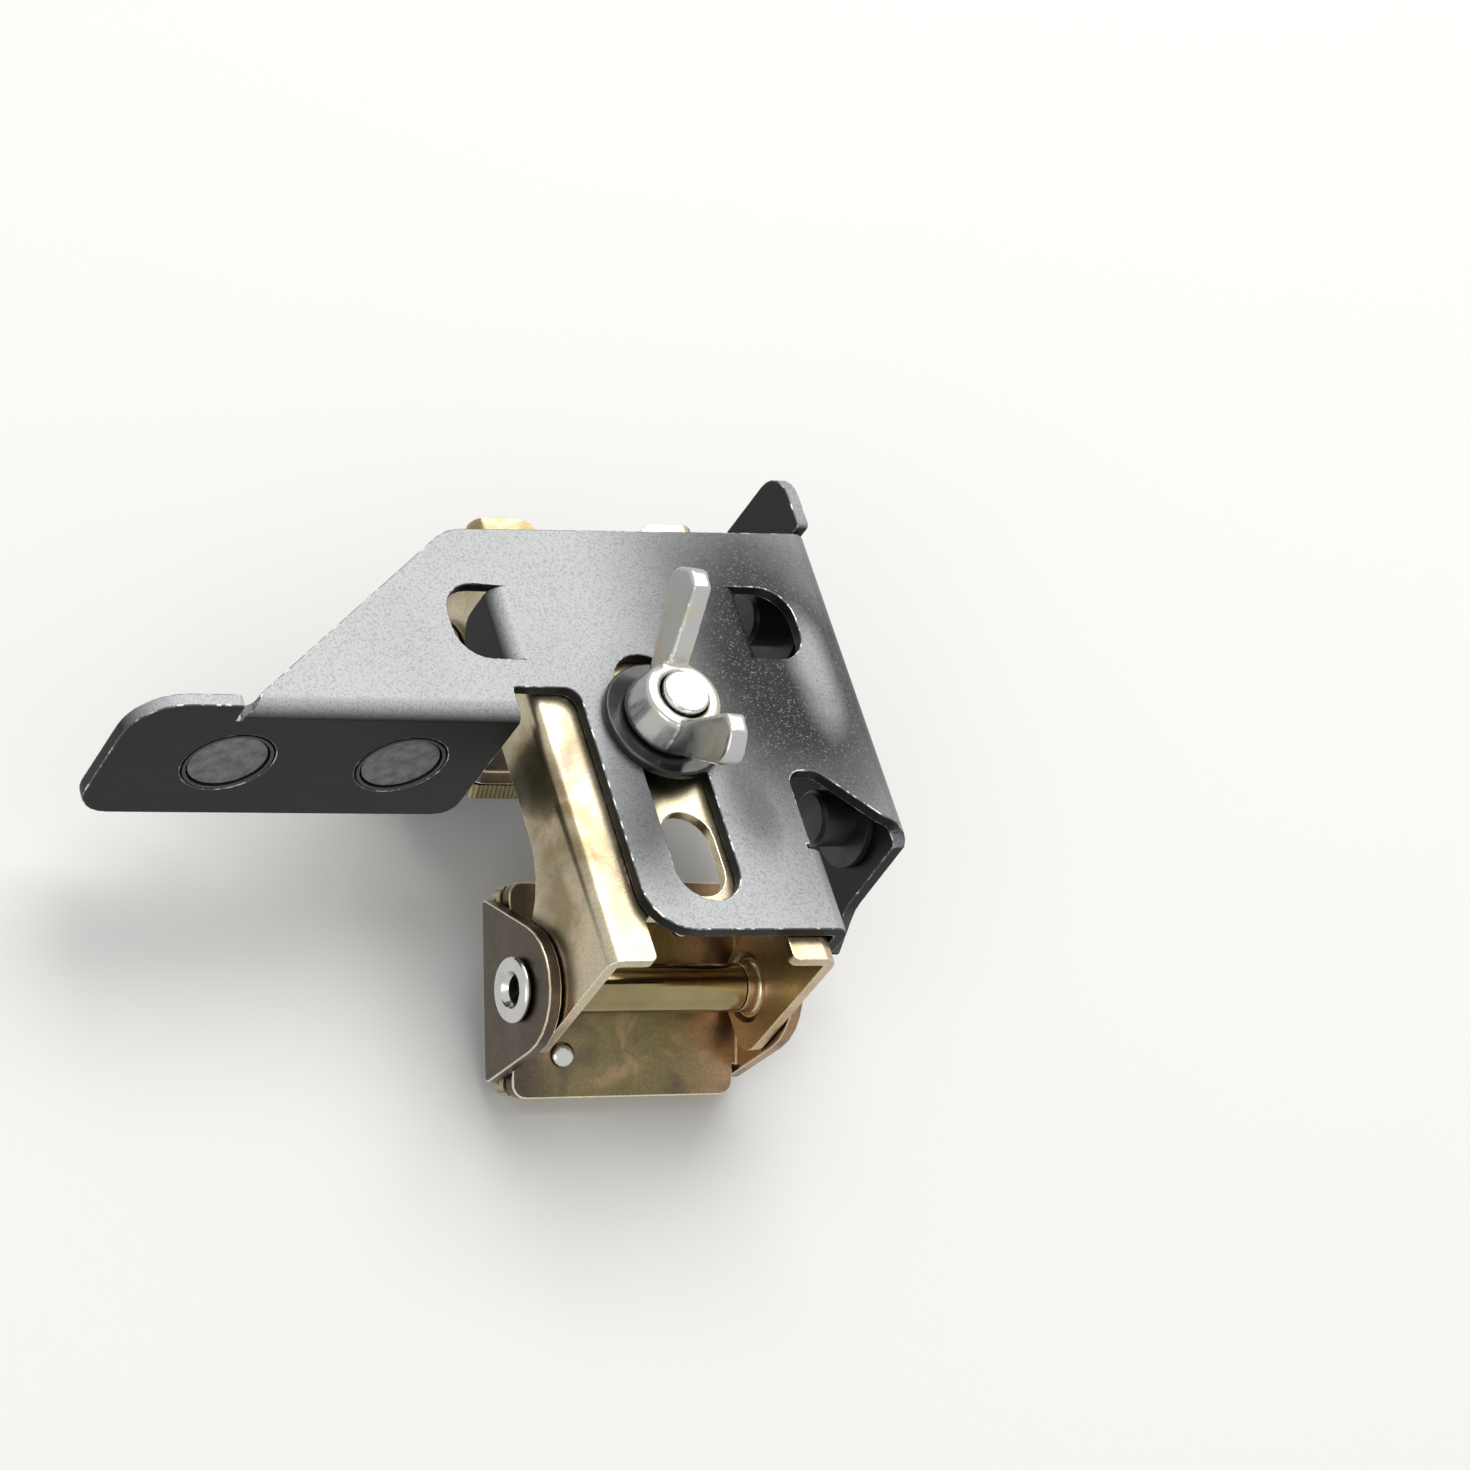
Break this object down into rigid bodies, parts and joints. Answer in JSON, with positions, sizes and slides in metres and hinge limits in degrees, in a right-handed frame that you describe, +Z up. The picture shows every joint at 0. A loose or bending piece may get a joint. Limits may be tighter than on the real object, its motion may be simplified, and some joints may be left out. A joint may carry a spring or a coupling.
{
  "type": "magnetic welding tab",
  "caption": "Folded black plate with round magnets in its flanges, clamped by a wing nut to a zinc slide that stands on swinging magnetic feet.",
  "frame": {"origin": "outer face of the end flange, midway between its two magnets, where the work rests", "axes": "+X out of the end flange towards the work, +Y across the plate along the slide, +Z up"},
  "size_m": [0.1324, 0.0974, 0.0676],
  "materials": {
    "powder_coat": "fine black powder coat",
    "cup": "blackened steel",
    "magnet": "dull grey magnet",
    "yellow_zinc": "yellow chromate zinc plate",
    "polished_zinc": "bright yellow zinc plate",
    "pole_zinc": "yellow zinc plate",
    "plated_steel": "bright plated steel",
    "black_washer": "glossy black",
    "cast_zinc": "bright cast zinc"
  },
  "bodies": {
    "plate": {"bracket": "powder_coat", "cup_side_outer": "cup", "cup_side_inner": "cup", "cup_end_front": "cup", "cup_end_rear": "cup", "magnet_side_outer": "magnet", "magnet_side_inner": "magnet", "magnet_end_front": "magnet", "magnet_end_rear": "magnet"},
    "carriage": {"slide": "yellow_zinc", "front_sleeve": "polished_zinc", "rear_sleeve": "polished_zinc", "clamp_bolt": "plated_steel", "washer": "black_washer"},
    "nut": {"wing_nut": "cast_zinc"},
    "foot_front": {"front_foot": "yellow_zinc", "front_rivet": "plated_steel", "front_pole_plate": "pole_zinc", "front_pad_magnet": "magnet", "front_pad_rivet_1": "plated_steel", "front_pad_rivet_2": "plated_steel"},
    "foot_rear": {"rear_foot": "yellow_zinc", "rear_rivet": "plated_steel", "rear_pole_plate": "pole_zinc", "rear_pad_magnet": "magnet", "rear_pad_rivet_1": "plated_steel", "rear_pad_rivet_2": "plated_steel"}
  },
  "joints": [
    {"name": "slide_travel", "type": "slide", "parent": "plate", "child": "carriage", "axis": [0, 1, 0], "range_m": [-0.0158, 0.0079]},
    {"name": "nut_turn", "type": "hinge", "parent": "carriage", "child": "nut", "pos_m": [-0.0411, -0.0102, 0.0095], "axis": [0, 0, 1], "continuous": true},
    {"name": "front_foot_swing", "type": "hinge", "parent": "carriage", "child": "foot_front", "pos_m": [-0.0411, -0.0435, -0.0145], "axis": [1, 0, 0], "range_deg": [-29, 20]},
    {"name": "rear_foot_swing", "type": "hinge", "parent": "carriage", "child": "foot_rear", "pos_m": [-0.0411, 0.0155, -0.0145], "axis": [1, 0, 0], "range_deg": [-20, 29]}
  ]
}
